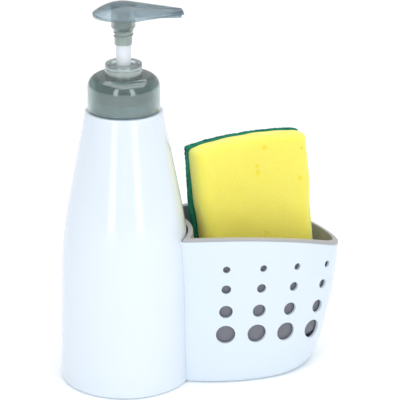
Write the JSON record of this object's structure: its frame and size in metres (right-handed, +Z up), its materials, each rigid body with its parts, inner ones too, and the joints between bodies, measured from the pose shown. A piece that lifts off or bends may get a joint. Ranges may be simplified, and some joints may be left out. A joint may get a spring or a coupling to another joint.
{
  "type": "soap pump caddy",
  "caption": "Kitchen or bathroom caddy: a tapered bottle with a lotion pump beside a holed, flared pocket whose lift-out liner holds a two-layer sponge.",
  "frame": {"origin": "centre of the bottle's base, on the ground", "axes": "+Z up along the bottle's axis, +X from the bottle to the sponge pocket, +Y to the side of the scouring pad"},
  "size_m": [0.1558, 0.0714, 0.2069],
  "materials": {
    "white_gloss": "gloss, opaque bluish white",
    "grey_liner": "satin mid grey",
    "foam": "open-cell foam, pale yellow",
    "scourer": "non-woven scouring fibre, dark green",
    "smoke_clear": "clear smoky grey-green, polished",
    "white_stem": "gloss white",
    "pump_natural": "natural, slightly milky",
    "spring_steel": "drawn wire and polished ball",
    "tube_clear": "milky clear",
    "gasket": "soft foamed sheet"
  },
  "bodies": {
    "stand": {"bottle": "white_gloss", "caddy_shell": "white_gloss"},
    "pump_engine": {"lock_ring": "smoke_clear", "pump_housing": "pump_natural", "neck_gasket": "gasket", "dip_tube": "tube_clear", "pump_spring": "spring_steel"},
    "collar": {"collar": "smoke_clear"},
    "plunger": {"piston": "pump_natural"},
    "head": {"pump_head": "smoke_clear", "pump_stem": "white_stem", "stem_plug": "pump_natural"},
    "valve_ball": {"valve_ball": "spring_steel"},
    "liner": {"caddy_liner": "grey_liner"},
    "sponge": {"sponge_foam": "foam", "scouring_pad": "scourer"}
  },
  "joints": [
    {"name": "collar_turn", "type": "hinge", "parent": "pump_engine", "child": "collar", "pos_m": [0, 0, 0.16], "axis": [0, 0, 1], "range_deg": [0, 540]},
    {"name": "pump_lift", "type": "slide", "parent": "stand", "child": "pump_engine", "axis": [0, 0, 1], "range_m": [0, 0.0045]},
    {"name": "pump_stroke", "type": "slide", "parent": "pump_engine", "child": "plunger", "axis": [0, 0, 1], "range_m": [-0.0175, 0], "stiffness_N_per_m": 343, "springref_m": 0.012, "deforming": ["pump_spring"]},
    {"name": "head_turn", "type": "hinge", "parent": "plunger", "child": "head", "pos_m": [0, 0, 0.2], "axis": [0, 0, 1], "continuous": true},
    {"name": "ball_lift", "type": "slide", "parent": "pump_engine", "child": "valve_ball", "axis": [0, 0, 1], "range_m": [0, 0.0022]},
    {"name": "liner_lift", "type": "slide", "parent": "stand", "child": "liner", "axis": [0, 0, 1], "range_m": [0, 0.085]},
    {"name": "sponge_lift", "type": "slide", "parent": "liner", "child": "sponge", "axis": [-0.0584, 0.1474, 0.9873], "range_m": [0, 0.1]}
  ],
  "couplings": [
    {"joint": "collar_turn", "follows": "pump_lift", "rad_per_m": 2094.4}
  ]
}
